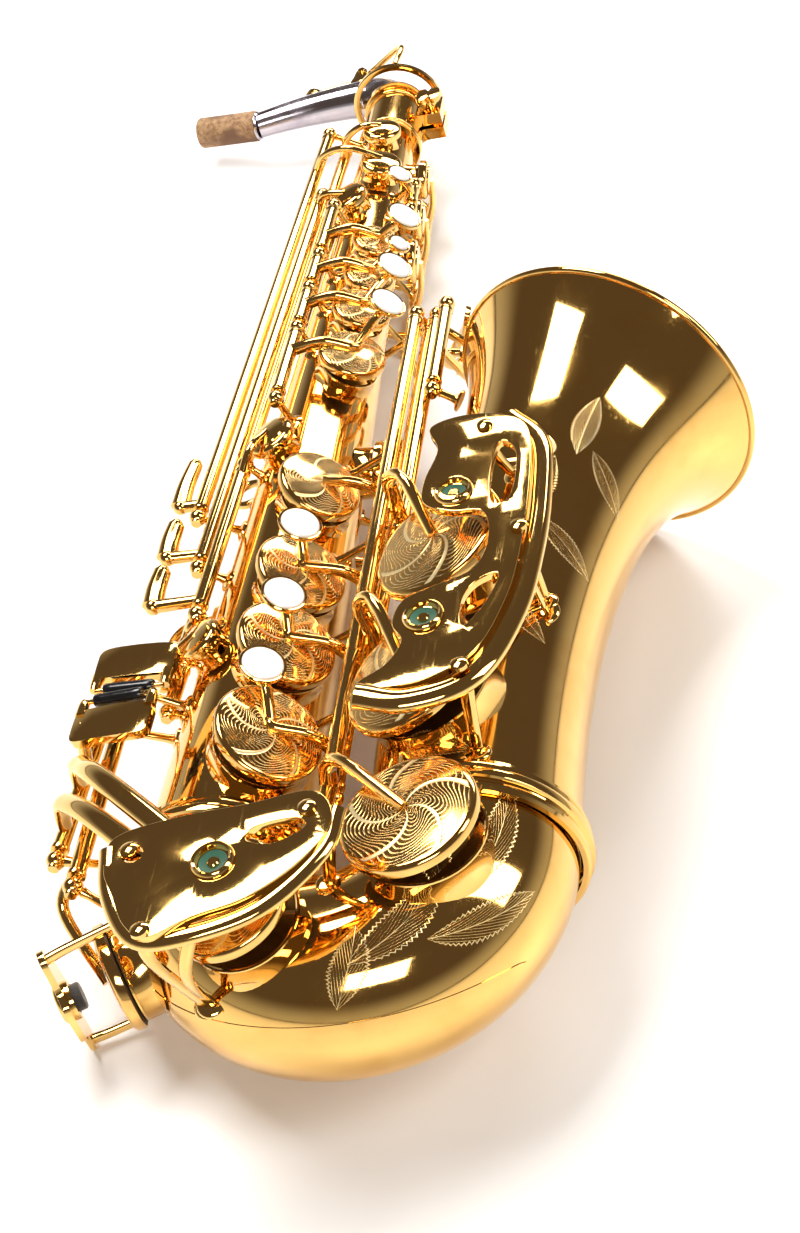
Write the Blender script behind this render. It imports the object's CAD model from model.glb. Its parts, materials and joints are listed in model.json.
import json
import math

import bmesh
import bpy
from bpy.props import FloatProperty, FloatVectorProperty, IntProperty, PointerProperty
from mathutils import Matrix, Vector


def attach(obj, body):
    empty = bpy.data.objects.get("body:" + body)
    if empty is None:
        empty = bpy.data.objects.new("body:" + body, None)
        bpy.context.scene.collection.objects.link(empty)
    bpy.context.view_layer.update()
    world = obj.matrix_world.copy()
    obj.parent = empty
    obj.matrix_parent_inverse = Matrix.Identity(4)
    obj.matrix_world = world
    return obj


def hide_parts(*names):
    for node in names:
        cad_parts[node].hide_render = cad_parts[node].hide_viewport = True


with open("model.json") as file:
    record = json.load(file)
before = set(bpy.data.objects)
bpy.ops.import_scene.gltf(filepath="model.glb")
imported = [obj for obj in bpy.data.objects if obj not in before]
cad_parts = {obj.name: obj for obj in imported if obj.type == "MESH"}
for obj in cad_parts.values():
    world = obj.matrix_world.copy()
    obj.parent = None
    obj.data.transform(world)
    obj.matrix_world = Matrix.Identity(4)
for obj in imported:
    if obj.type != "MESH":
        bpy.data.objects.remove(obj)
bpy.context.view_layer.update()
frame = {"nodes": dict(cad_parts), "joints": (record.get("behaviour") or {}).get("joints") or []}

bl_info = {
    "name": "Alto saxophone",
    "version": (1, 0, 0),
    "blender": (4, 5, 0),
    "location": "View3D > Sidebar > Saxophone",
    "description": "Builds the look of a lacquered alto saxophone around its packed parts",
    "category": "Object",
}

# ---------- the instrument's own frame ----------
# +X to the bell, +Y up the body tube, +Z to the player's right; lengths below are in millimetres.

JOINTS = {j["name"]: j for j in frame["joints"]}
SIDE = Vector(JOINTS["clamp_turn"]["axis"]).normalized()
UP = Vector(JOINTS["neck_swivel"]["axis"]).normalized()
FRONT = UP.cross(SIDE).normalized()
BODY_LEN, RECEIVER_LEN = 470, 30
BASE = Vector(JOINTS["neck_swivel"]["pos_m"]) - UP * (BODY_LEN + RECEIVER_LEN / 2) * 0.001
LAY = Matrix((FRONT, UP, SIDE)).transposed().to_4x4()
LAY.translation = BASE
TO_WORLD = LAY @ Matrix.Scale(0.001, 4)
X, Y, Z = Vector((1, 0, 0)), Vector((0, 1, 0)), Vector((0, 0, 1))

BODY_R0, BODY_R1 = 28, 12.3
BOW_RAD, BOW_Y, BOW_R0, BOW_R1 = 42.5, -4, 29, 34
BELL_LEN, BELL_RIM, BELL_R0 = 224, 61.5, 34.5
TILT0, TILT1, LEAN = math.radians(-4), math.radians(22), math.radians(2)
BEND = (TILT1 - TILT0) / BELL_LEN
WALL = 1.0


def round_dir(t):
    """Outward direction at angle t round the body tube."""
    return Vector((math.cos(math.radians(t)), 0, math.sin(math.radians(t))))


def tube_r(y):
    return BODY_R0 - (BODY_R0 - BODY_R1) * y / BODY_LEN


def off_tube(t, y, gap):
    return round_dir(t) * (tube_r(y) + gap) + Y * y


def rod_line(t, y0, y1, gap):
    return off_tube(t, y0, gap), off_tube(t, y1, gap)


def bell_tilt(s):
    return TILT0 + (TILT1 - TILT0) * s / BELL_LEN


def bell_c(s):
    t = bell_tilt(s)
    return Vector((2 * BOW_RAD + (math.cos(TILT0) - math.cos(t)) / BEND,
                   (math.sin(t) - math.sin(TILT0)) / BEND, s * math.sin(LEAN)))


def bell_r(s):
    u = s / BELL_LEN
    return BELL_R0 + 4.2 * u + (BELL_RIM - BELL_R0 - 4.2) * u ** 7.5


def bow_dir(a):
    return Vector((-math.cos(math.radians(a)), -math.sin(math.radians(a)), 0))


def bow_c(a):
    return Vector((BOW_RAD, BOW_Y, 0)) + BOW_RAD * bow_dir(a)


def bow_r(a):
    return BOW_R0 + (BOW_R1 - BOW_R0) * a / 180


def bow_wall(a, w, sink=0.6):
    w = math.radians(w)
    return bow_c(a) + (bow_r(a) - sink) * (math.cos(w) * bow_dir(a) + math.sin(w) * Z)


def bell_wall(s, w, sink=0.6):
    return bell_c(s) + (bell_r(s) - sink) * round_dir(w)


def place(p, d, turn=0.0):
    """Matrix that stands +Z on the direction d at the point p."""
    d = Vector(d).normalized()
    level = math.acos(max(-1, min(1, d.z)))
    heading = math.atan2(d.y, d.x)
    return (Matrix.Translation(Vector(p)) @ Matrix.Rotation(heading, 4, "Z")
            @ Matrix.Rotation(level, 4, "Y") @ Matrix.Rotation(math.radians(turn), 4, "Z"))


def on_rod(rod, y):
    return rod[0] + (rod[1] - rod[0]) * (y - rod[0].y) / (rod[1].y - rod[0].y)


def swing(rod, degrees):
    """Turn about a pivot line."""
    axis = (rod[1] - rod[0]).normalized()
    return (Matrix.Translation(rod[0]) @ Matrix.Rotation(math.radians(degrees), 4, axis)
            @ Matrix.Translation(-rod[0]))


# Pivot lines
ROD = {
    "lower": (Vector((42, 9, 20)), Vector((42, 190, 20))),
    "upper": rod_line(104, 215, 366, 13.5),
    "cs": (Vector((44, -10, 31)), Vector((44, 264, 31))),
    "low_b": (Vector((48.1, 60, 23.9)), Vector((48.1, 264, 23.9))),
    "low_bb": (Vector((52.5, 124, 29)), Vector((52.5, 264, 29))),
    "gs_touch": (Vector((57.5, 206, 33.5)), Vector((57.5, 264, 33.5))),
    "gs": (Vector((26, 190, -20)), Vector((26, 220, -20))),
    "low_c": (Vector((-51, -8, 20)), Vector((-49, 52, 20))),
    "low_eb": (Vector((-39, -24, 25)), Vector((-39, 64, 25))),
    "side_e": rod_line(148, 160, 457, 18),
    "side_c": rod_line(140, 128, 397, 12),
    "side_bb": rod_line(128, 98, 186, 9),
    "high_fs": rod_line(162, 96, 459, 8),
    "trill": rod_line(156, 63, 89, 6),
    "palm": rod_line(-66, 336, 450, 21),
    "front_f": rod_line(30, 378, 400, 12),
    "octave": rod_line(200, 322, 404, 8),
}
# Turn of each key from closed to rest, in degrees
REST = {"key_d": 9, "key_e": 9, "key_f": 9, "key_fork_f_sharp": 8, "key_g": -7, "key_a": -7,
        "key_bis": -6, "key_b": -7, "key_low_c_sharp": -9, "key_low_b": -8, "key_low_bb": -8,
        "key_low_c": -5}

# Tone holes: rim centre, outward direction, radius


def body_hole(t, y, r, rise):
    return off_tube(t, y, rise), round_dir(t), r, rise


N_BELL = round_dir(104)
N_C = math.sin(math.radians(10)) * bow_dir(71) + math.cos(math.radians(10)) * Z
N_EB = bow_dir(28)
HOLES = {
    "d": body_hole(58, 27, 16, 6), "e": body_hole(58, 71, 15, 5.5), "f": body_hole(58, 109, 14, 5),
    "fs": body_hole(58, 160, 13.2, 5), "gs": body_hole(-4, 204, 9.5, 5),
    "g": body_hole(55, 249, 11, 5), "a": body_hole(55, 284, 9.5, 4.5),
    "bis": body_hole(55, 312, 8, 4), "b": body_hole(55, 340, 7.5, 4),
    "side_bb": body_hole(108, 197, 7, 5), "side_c": body_hole(104, 384, 6.5, 4),
    "side_e": body_hole(70, 413, 6.5, 4), "high_fs": body_hole(80, 445, 6, 4),
    "trill": body_hole(120, 83, 5.5, 4), "palm_d": body_hole(-12, 362, 7, 4),
    "palm_eb": body_hole(-12, 398, 6.5, 4), "palm_f": body_hole(-12, 434, 6, 4),
    "octave": body_hole(180, 396, 2.2, 5),
}
BELL_HOLES = {
    "bb": (bell_c(97) + (bell_r(97) + 4) * N_BELL, N_BELL, 22, 16),
    "low_b": (bell_c(37) + (bell_r(37) + 4) * N_BELL, N_BELL, 21.5, 16),
}
BOW_HOLES = {
    "cs": (bow_c(151) + (bow_r(151) + 5) * Z, Z, 19, 20),
    "c": (bow_c(71) + (bow_r(71) + 6) * N_C, N_C, 17, 20),
    "eb": (bow_c(28) + (bow_r(28) + 5) * N_EB, N_EB, 15, 16),
}


# ---------- shaping ----------

def circle(bm, matrix, radius, sides, squash=1.0):
    """A closed ring of edges."""
    made = bmesh.ops.create_circle(bm, cap_ends=False, segments=sides, radius=1,
                                   matrix=matrix @ Matrix.Diagonal((radius, radius * squash, 1, 1)))
    verts = made["verts"]
    return list({e for v in verts for e in v.link_edges})


def skin(bm, rings, caps=True):
    """Bridges rings of edges one after the other and closes the two ends if asked."""
    for a, b in zip(rings, rings[1:]):
        bmesh.ops.bridge_loops(bm, edges=a + b)
    if caps:
        for ring in (rings[0], rings[-1]):
            bmesh.ops.contextual_create(bm, geom=ring)


def spin(bm, matrix, profile, steps=48):
    """A turned shape from a profile of (radius, height) points about the matrix's +Z."""
    verts = [bm.verts.new(matrix @ Vector((r, 0, h))) for r, h in profile]
    edges = [bm.edges.new(pair) for pair in zip(verts, verts[1:])]
    axis = (matrix.to_3x3() @ Z).normalized()
    bmesh.ops.spin(bm, geom=verts + edges, cent=matrix.translation, axis=axis,
                   angle=math.tau, steps=steps, use_merge=True)


def rod(bm, p, q, r1, r2=None, sides=24):
    """A round bar from p to q."""
    p, q = Vector(p), Vector(q)
    middle = place((p + q) / 2, q - p)
    bmesh.ops.create_cone(bm, cap_ends=True, segments=sides, radius1=r1,
                          radius2=r1 if r2 is None else r2, depth=(q - p).length, matrix=middle)


def ball(bm, p, r, flat=1.0, d=None):
    matrix = place(p, d or Z) @ Matrix.Diagonal((1, 1, flat, 1))
    bmesh.ops.create_uvsphere(bm, u_segments=24, v_segments=14, radius=r, matrix=matrix)


def smooth_path(points, per=8):
    """Catmull-Rom points through the given ones."""
    p = [Vector(v) for v in points]
    p = [2 * p[0] - p[1]] + p + [2 * p[-1] - p[-2]]
    out = []
    for i in range(1, len(p) - 2):
        for k in range(per):
            t = k / per
            out.append(0.5 * (2 * p[i] + (p[i + 1] - p[i - 1]) * t
                              + (2 * p[i - 1] - 5 * p[i] + 4 * p[i + 1] - p[i + 2]) * t * t
                              + (3 * p[i] - p[i - 1] - 3 * p[i + 1] + p[i + 2]) * t ** 3))
    out.append(p[-2])
    return out


def arm(bm, points, r0, r1=None, squash=1.0, wide=None, sides=14):
    """A smooth bar through points that narrows from r0 to r1; wide is its broad direction."""
    path = smooth_path(points)
    r1 = r0 if r1 is None else r1
    side = Vector(wide) if wide else None
    rings = []
    last = None
    for i, p in enumerate(path):
        d = (path[min(i + 1, len(path) - 1)] - path[max(i - 1, 0)]).normalized()
        ref = side or last or (Z if abs(d.z) < 0.8 else X)
        u = (ref - d * ref.dot(d)).normalized()
        v = d.cross(u)
        last = u
        matrix = Matrix((u, v, d)).transposed().to_4x4()
        matrix.translation = p
        k = i / (len(path) - 1)
        rings.append(circle(bm, matrix, r0 + (r1 - r0) * k, sides, squash))
    skin(bm, rings)


def sheet_face(bm, outline, matrix, thickness, holes=(), bevel=0.6, dome=0.0):
    """A plate cut from an outline of (x, y) points, with holes, raised edges rounded."""
    edges = []
    for loop in [outline, *holes]:
        verts = [bm.verts.new((x, y, 0)) for x, y in loop]
        edges += [bm.edges.new((verts[i], verts[(i + 1) % len(verts)])) for i in range(len(verts))]
    made = bmesh.ops.triangle_fill(bm, use_beauty=True, use_dissolve=False, edges=edges)
    faces = [g for g in made["geom"] if isinstance(g, bmesh.types.BMFace)]
    bmesh.ops.recalc_face_normals(bm, faces=faces)
    up = sum((f.normal.z for f in faces))
    if up < 0:
        bmesh.ops.reverse_faces(bm, faces=faces)
    raised = bmesh.ops.extrude_face_region(bm, geom=faces)
    top = [g for g in raised["geom"] if isinstance(g, bmesh.types.BMVert)]
    bmesh.ops.translate(bm, verts=top, vec=(0, 0, thickness))
    whole = {v for f in faces if f.is_valid for v in f.verts} | set(top)
    top_set = set(top)
    bm.normal_update()
    rim = list({e for v in top for e in v.link_edges if all(w in top_set for w in e.verts)
                and len(e.link_faces) == 2 and e.calc_face_angle(0) > 0.8})
    if bevel and rim:
        made = bmesh.ops.bevel(bm, geom=rim, offset=bevel, offset_type="OFFSET", segments=3,
                               profile=0.5, affect="EDGES", material=-1, clamp_overlap=True)
        whole |= {v for f in made["faces"] for v in f.verts}
    whole = [v for v in whole if v.is_valid]
    if dome:
        for v in whole:
            v.co.z -= dome * (v.co.x ** 2 + v.co.y ** 2)
    bmesh.ops.transform(bm, matrix=matrix, verts=whole)


def oval(lx, ly, steps=40, power=2.0):
    """Outline of a rounded plate lx by ly; a higher power is squarer."""
    out = []
    for i in range(steps):
        a = math.tau * i / steps
        c, s = math.cos(a), math.sin(a)
        out.append((lx / 2 * math.copysign(abs(c) ** (2 / power), c),
                    ly / 2 * math.copysign(abs(s) ** (2 / power), s)))
    return out


def rounded(points, per=6):
    """Closed smooth outline through (x, y) points."""
    n = len(points)
    out = []
    for i in range(n):
        a, b, c, d = (Vector(points[(i + k) % n]) for k in (-1, 0, 1, 2))
        for k in range(per):
            t = k / per
            v = 0.5 * (2 * b + (c - a) * t + (2 * a - 5 * b + 4 * c - d) * t * t
                       + (3 * b - a - 3 * c + d) * t ** 3)
            out.append((v.x, v.y))
    return out


def ring_at(x, y, r, steps=24):
    return [(x + r * math.cos(math.tau * i / steps), y + r * math.sin(math.tau * i / steps))
            for i in range(steps)]


def finish_piece(bm, name, body, material, nodes=(), angle=38, extra=()):
    """Turns a local mesh into a finished piece that rides on a body."""
    bmesh.ops.remove_doubles(bm, verts=bm.verts, dist=0.0004)
    bmesh.ops.recalc_face_normals(bm, faces=bm.faces)
    bmesh.ops.transform(bm, matrix=TO_WORLD, verts=bm.verts)
    mesh = bpy.data.meshes.new(name)
    bm.to_mesh(mesh)
    bm.free()
    mesh.shade_smooth()
    mesh.set_sharp_from_angle(angle=math.radians(angle))
    obj = bpy.data.objects.new(name, mesh)
    bpy.context.scene.collection.objects.link(obj)
    for m in (material, *extra):
        mesh.materials.append(m)
    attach(obj, body)
    if nodes:
        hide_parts(*nodes)
    return obj


# ---------- materials ----------

class Shader:
    """A node tree with short ways to add and join nodes."""

    def __init__(self, tree):
        self.tree = tree

    def add(self, kind, **settings):
        node = self.tree.nodes.new(kind)
        for key, value in settings.items():
            setattr(node, key, value)
        return node

    def feed(self, socket, value):
        if isinstance(value, bpy.types.NodeSocket):
            self.tree.links.new(value, socket)
        elif value is not None:
            socket.default_value = value

    def math(self, operation, *values, clamp=False):
        node = self.add("ShaderNodeMath", operation=operation, use_clamp=clamp)
        for socket, value in zip(node.inputs, values):
            self.feed(socket, value)
        return node.outputs[0]

    def vector(self, operation, *values):
        node = self.add("ShaderNodeVectorMath", operation=operation)
        for socket, value in zip(node.inputs, values):
            self.feed(socket, value)
        return node.outputs["Value" if operation in ("DOT_PRODUCT", "LENGTH") else "Vector"]

    def noise(self, vector, scale, detail=4.0, rough=0.55):
        node = self.add("ShaderNodeTexNoise")
        self.feed(node.inputs["Vector"], vector)
        self.feed(node.inputs["Scale"], scale)
        self.feed(node.inputs["Detail"], detail)
        self.feed(node.inputs["Roughness"], rough)
        return node.outputs[0]

    def span(self, value, low, high, to_low=0.0, to_high=1.0):
        node = self.add("ShaderNodeMapRange", interpolation_type="SMOOTHSTEP")
        for socket, v in zip(node.inputs, (value, low, high, to_low, to_high)):
            self.feed(socket, v)
        return node.outputs[0]

    def blend(self, factor, a, b):
        node = self.add("ShaderNodeMix", data_type="RGBA")
        self.feed(node.inputs[0], factor)
        self.feed(node.inputs[6], a)
        self.feed(node.inputs[7], b)
        return node.outputs[2]

    def bump(self, height, strength, distance, normal=None):
        node = self.add("ShaderNodeBump")
        self.feed(node.inputs["Strength"], strength)
        self.feed(node.inputs["Distance"], distance)
        self.feed(node.inputs["Height"], height)
        self.feed(node.inputs["Normal"], normal)
        return node.outputs[0]


def new_group(name, inputs, outputs):
    """An empty shader group with named float or vector sockets."""
    tree = bpy.data.node_groups.new(name, "ShaderNodeTree")
    for label, kind in inputs:
        tree.interface.new_socket(name=label, in_out="INPUT", socket_type=kind)
    for label, kind in outputs:
        tree.interface.new_socket(name=label, in_out="OUTPUT", socket_type=kind)
    sh = Shader(tree)
    return sh, sh.add("NodeGroupInput"), sh.add("NodeGroupOutput")


def handling_group():
    """Smudges, fine grain and a slow wobble of the surface, from object coordinates."""
    flt, vec = "NodeSocketFloat", "NodeSocketVector"
    sh, src, out = new_group("Handling", [("Vector", vec)],
                             [("Smudge", flt), ("Grain", flt), ("Wobble", flt), ("Scratch", flt)])
    v = src.outputs["Vector"]
    sh.feed(out.inputs["Smudge"], sh.span(sh.noise(v, 55.0, 5.0), 0.46, 0.68))
    sh.feed(out.inputs["Grain"], sh.noise(v, 1600.0, 2.0))
    sh.feed(out.inputs["Wobble"], sh.noise(v, 30.0, 1.0))
    stretched = sh.vector("MULTIPLY", v, (1.0, 0.05, 1.0))
    sh.feed(out.inputs["Scratch"], sh.span(sh.noise(stretched, 900.0, 3.0), 0.63, 0.68))
    return sh.tree


def leaf_group():
    """Engraved leaf about the middle: x along it from -1 to 1, y across it."""
    flt, vec = "NodeSocketFloat", "NodeSocketVector"
    sh, src, out = new_group("Engraved leaf", [("Vector", vec), ("Weight", flt)], [("Line", flt)])
    parts = sh.add("ShaderNodeSeparateXYZ")
    sh.feed(parts.inputs[0], src.outputs["Vector"])
    x, y = parts.outputs[0], sh.math("ABSOLUTE", parts.outputs[1])
    belly = sh.math("MAXIMUM", sh.math("SUBTRACT", 1.0, sh.math("MULTIPLY", x, x)), 0.03)
    zig = sh.math("PINGPONG", sh.math("MULTIPLY", x, 11.0), 0.5)
    reach = sh.math("DIVIDE", y, sh.math("MULTIPLY", belly, sh.math("ADD", 0.78, sh.math("MULTIPLY", zig, 0.34))))
    edge = sh.span(sh.math("ABSOLUTE", sh.math("SUBTRACT", reach, 1.0)),
                   0.0, src.outputs["Weight"], 1.0, 0.0)
    inside = sh.math("LESS_THAN", reach, 0.95)
    rib = sh.span(y, 0.0, sh.math("MULTIPLY", src.outputs["Weight"], 0.35), 1.0, 0.0)
    slant = sh.math("SINE", sh.math("MULTIPLY", sh.math("SUBTRACT", sh.math("MULTIPLY", y, 1.3), x), 34.0))
    veins = sh.math("MULTIPLY", sh.span(slant, 0.88, 1.0), 0.55)
    inner = sh.math("MULTIPLY", inside, sh.math("MAXIMUM", rib, veins))
    bounds_x = sh.math("LESS_THAN", sh.math("ABSOLUTE", x), 1.0)
    sh.feed(out.inputs["Line"], sh.math("MULTIPLY", bounds_x, sh.math("MAXIMUM", edge, inner)))
    return sh.tree


GROUPS = {}


def shared(name):
    if name not in GROUPS:
        GROUPS[name] = {"handling": handling_group, "leaf": leaf_group}[name]()
    return GROUPS[name]


def material(name):
    mat = bpy.data.materials.new(name)
    mat.use_nodes = True
    mat.node_tree.nodes.clear()
    sh = Shader(mat.node_tree)
    surface = sh.add("ShaderNodeBsdfPrincipled")
    out = sh.add("ShaderNodeOutputMaterial")
    sh.feed(out.inputs[0], surface.outputs[0])
    return mat, sh, surface


def handled(sh):
    node = sh.add("ShaderNodeGroup")
    node.node_tree = shared("handling")
    sh.feed(node.inputs[0], sh.add("ShaderNodeTexCoord").outputs["Object"])
    return node.outputs


def leaf_lines(sh, uv, leaves, weight):
    """The strongest line of several leaves: each is (u, v, turn, half length, half width)."""
    line = None
    for u, v, turn, length, width in leaves:
        mapping = sh.add("ShaderNodeMapping", vector_type="TEXTURE")
        mapping.inputs["Location"].default_value = (u, v, 0)
        mapping.inputs["Rotation"].default_value = (0, 0, math.radians(turn))
        mapping.inputs["Scale"].default_value = (length, width, 1)
        sh.feed(mapping.inputs["Vector"], uv)
        node = sh.add("ShaderNodeGroup")
        node.node_tree = shared("leaf")
        sh.feed(node.inputs["Vector"], mapping.outputs[0])
        sh.feed(node.inputs["Weight"], weight)
        line = node.outputs[0] if line is None else sh.math("MAXIMUM", line, node.outputs[0])
    return line


def gold(name, tone=(0.93, 0.60, 0.19, 1), shine=0.055, line=None, uv_map=None, inside=False):
    """Lacquered brass; line builds an engraving mask from a UV vector."""
    mat, sh, surface = material(name)
    worn = handled(sh)
    deep = tuple(c * k for c, k in zip(tone[:3], (0.86, 0.72, 0.5))) + (1,)
    colour = sh.blend(sh.math("MULTIPLY", worn["Smudge"], 0.35), tone, deep)
    rough = sh.math("ADD", shine, sh.math("MULTIPLY", worn["Smudge"], 0.05))
    rough = sh.math("ADD", rough, sh.math("MULTIPLY", worn["Scratch"], 0.06))
    normal = sh.bump(worn["Wobble"], 0.25, 0.0006)
    normal = sh.bump(worn["Grain"], 0.02, 0.0001, normal)
    if line:
        uv = sh.add("ShaderNodeUVMap", uv_map=uv_map).outputs[0]
        mask = line(sh, uv)
        colour = sh.blend(mask, colour, (1.0, 0.86, 0.52, 1))
        rough = sh.math("ADD", rough, sh.math("MULTIPLY", mask, 0.32))
        normal = sh.bump(mask, 0.5, -0.0002, normal)
    sh.feed(surface.inputs["Base Color"], colour)
    sh.feed(surface.inputs["Roughness"], rough)
    sh.feed(surface.inputs["Normal"], normal)
    surface.inputs["Metallic"].default_value = 1.0
    surface.inputs["Coat Weight"].default_value = 0.0 if inside else 0.35
    surface.inputs["Coat Roughness"].default_value = 0.03
    surface.inputs["Coat Tint"].default_value = (1.0, 0.88, 0.62, 1)
    return mat


BELL_LEAVES = [(0.16, 0.62, 70, 0.15, 0.055), (0.40, 0.50, 25, 0.17, 0.06), (0.30, 0.78, 120, 0.13, 0.05),
               (0.62, 0.62, -10, 0.16, 0.055), (0.74, 0.40, 50, 0.15, 0.05), (0.98, 0.52, 15, 0.17, 0.06),
               (1.12, 0.30, 60, 0.15, 0.05), (1.34, 0.46, 0, 0.16, 0.055), (1.50, 0.24, 50, 0.14, 0.05),
               (1.68, 0.42, 10, 0.14, 0.05)]
BOW_LEAVES = [(0.92, 0.36, 20, 0.15, 0.06), (1.06, 0.22, -30, 0.13, 0.05), (1.10, 0.48, 60, 0.13, 0.05),
              (1.22, 0.34, 5, 0.14, 0.055), (1.30, 0.52, 75, 0.12, 0.05), (0.78, 0.30, 70, 0.12, 0.045)]


def bell_line(sh, uv):
    leaves = leaf_lines(sh, uv, BELL_LEAVES, 0.07)
    mapping = sh.add("ShaderNodeMapping", vector_type="TEXTURE")
    mapping.inputs["Location"].default_value = (1.52, 0.68, 0)
    mapping.inputs["Scale"].default_value = (0.085, 0.20, 1)
    sh.feed(mapping.inputs["Vector"], uv)
    far = sh.vector("LENGTH", mapping.outputs[0])
    badge = sh.span(sh.math("ABSOLUTE", sh.math("SUBTRACT", far, 1.0)), 0.04, 0.09, 1.0, 0.0)
    return sh.math("MAXIMUM", leaves, badge)


def bow_line(sh, uv):
    return leaf_lines(sh, uv, BOW_LEAVES, 0.07)


def cup_line(sh, uv):
    """Feathered scrolls and fine hatching on a key cup, about the cup's middle."""
    parts = sh.add("ShaderNodeSeparateXYZ")
    sh.feed(parts.inputs[0], uv)
    x, y = parts.outputs[0], parts.outputs[1]
    far = sh.math("SQRT", sh.math("ADD", sh.math("MULTIPLY", x, x), sh.math("MULTIPLY", y, y)))
    angle = sh.math("ARCTAN2", y, x)
    spiral = sh.math("ADD", sh.math("MULTIPLY", angle, 5.0), sh.math("MULTIPLY", far, 7.0))
    feather = sh.span(sh.math("SINE", spiral), 0.93, 0.99)
    curl = sh.math("SINE", sh.math("ADD", spiral, 1.2))
    hatch = sh.math("SINE", sh.math("MULTIPLY", sh.math("ADD", far, sh.math("MULTIPLY", curl, 0.07)), 105.0))
    lines = sh.math("MULTIPLY", sh.span(hatch, 0.55, 0.95), 0.6)
    both = sh.math("MAXIMUM", feather, lines)
    return sh.math("MULTIPLY", both, sh.span(far, 0.93, 0.90))


def nickel():
    mat, sh, surface = material("nickel_silver")
    worn = handled(sh)
    sh.feed(surface.inputs["Base Color"], sh.blend(worn["Smudge"], (0.63, 0.58, 0.62, 1), (0.50, 0.45, 0.52, 1)))
    sh.feed(surface.inputs["Roughness"], sh.math("ADD", 0.12, sh.math("MULTIPLY", worn["Smudge"], 0.14)))
    sh.feed(surface.inputs["Normal"], sh.bump(worn["Wobble"], 0.2, 0.0005))
    surface.inputs["Metallic"].default_value = 1.0
    return mat


def cork():
    mat, sh, surface = material("cork")
    v = sh.add("ShaderNodeTexCoord").outputs["Object"]
    grain = sh.noise(v, 420.0, 6.0, 0.7)
    cells = sh.add("ShaderNodeTexVoronoi")
    sh.feed(cells.inputs["Vector"], v)
    cells.inputs["Scale"].default_value = 900.0
    pits = sh.span(cells.outputs["Distance"], 0.0, 0.5)
    colour = sh.blend(sh.span(grain, 0.35, 0.65), (0.26, 0.13, 0.055, 1), (0.52, 0.32, 0.16, 1))
    colour = sh.blend(sh.span(sh.noise(v, 60.0, 2.0), 0.45, 0.6), colour, (0.20, 0.10, 0.05, 1))
    sh.feed(surface.inputs["Base Color"], colour)
    surface.inputs["Roughness"].default_value = 0.72
    sh.feed(surface.inputs["Normal"], sh.bump(sh.math("MULTIPLY", pits, grain), 0.6, 0.0004))
    return mat


def pearl_shell():
    mat, sh, surface = material("mother_of_pearl")
    v = sh.add("ShaderNodeTexCoord").outputs["Object"]
    warp = sh.vector("ADD", v, sh.vector("MULTIPLY", sh.noise(v, 90.0), (0.012, 0.012, 0.012)))
    layers = sh.noise(warp, 260.0, 5.0)
    colour = sh.blend(sh.span(layers, 0.35, 0.6), (0.93, 0.90, 0.86, 1), (0.86, 0.93, 0.90, 1))
    colour = sh.blend(sh.span(sh.noise(warp, 140.0), 0.5, 0.62), colour, (0.96, 0.84, 0.86, 1))
    sh.feed(surface.inputs["Base Color"], colour)
    sh.feed(surface.inputs["Roughness"], sh.span(layers, 0.3, 0.7, 0.10, 0.28))
    surface.inputs["Coat Weight"].default_value = 0.8
    surface.inputs["Coat Roughness"].default_value = 0.05
    surface.inputs["Subsurface Weight"].default_value = 0.15
    surface.inputs["Subsurface Scale"].default_value = 0.002
    sh.feed(surface.inputs["Normal"], sh.bump(layers, 0.1, 0.0002))
    return mat


def plain(name, colour, other, rough, scale, height, metal=0.0, sheen=0.0):
    """A dull or glossy stuff whose colour and surface vary a little."""
    mat, sh, surface = material(name)
    v = sh.add("ShaderNodeTexCoord").outputs["Object"]
    grain = sh.noise(v, scale, 5.0, 0.65)
    sh.feed(surface.inputs["Base Color"], sh.blend(sh.span(grain, 0.3, 0.7), colour, other))
    sh.feed(surface.inputs["Roughness"], sh.span(grain, 0.3, 0.7, rough, rough + 0.12))
    sh.feed(surface.inputs["Normal"], sh.bump(grain, 0.4, height))
    surface.inputs["Metallic"].default_value = metal
    surface.inputs["Sheen Weight"].default_value = sheen
    return mat


MATS = {}


def mats():
    """Every material, made once."""
    st = bpy.context.scene.saxophone
    if not MATS:
        MATS.update(
            gold=gold("gold_lacquer", st.lacquer),
            keys=gold("gold_lacquer_keys", st.key_lacquer, 0.05),
            bell=gold("gold_lacquer_bell", st.lacquer, line=bell_line, uv_map="engraving"),
            bow=gold("gold_lacquer_bow", st.lacquer, line=bow_line, uv_map="engraving"),
            cup=gold("gold_lacquer_cup", (0.90, 0.57, 0.18, 1), 0.07, cup_line, "engraving"),
            inside=gold("gold_inside", (0.80, 0.44, 0.12, 1), 0.16, inside=True),
            nickel=nickel(), cork=cork(), pearl=pearl_shell(),
            felt=plain("felt", (0.03, 0.03, 0.035, 1), (0.07, 0.065, 0.06, 1), 0.85, 1500.0, 0.0004, 0, 0.6),
            green=plain("green_felt", (0.006, 0.07, 0.04, 1), (0.012, 0.12, 0.07, 1), 0.8, 1500.0, 0.0003, 0, 0.6),
            pad=plain("pad_leather", (0.035, 0.022, 0.015, 1), (0.075, 0.045, 0.03, 1), 0.5, 700.0, 0.0002),
            roller=plain("black_roller", (0.006, 0.006, 0.007, 1), (0.014, 0.013, 0.014, 1), 0.12, 300.0, 0.0001),
            plastic=plain("black_plastic", (0.012, 0.012, 0.013, 1), (0.02, 0.02, 0.02, 1), 0.3, 500.0, 0.0001),
            steel=plain("rod_steel", (0.74, 0.70, 0.64, 1), (0.60, 0.56, 0.50, 1), 0.16, 900.0, 0.0001, 1.0),
        )
    return MATS


# ---------- body, bow and bell ----------

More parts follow.
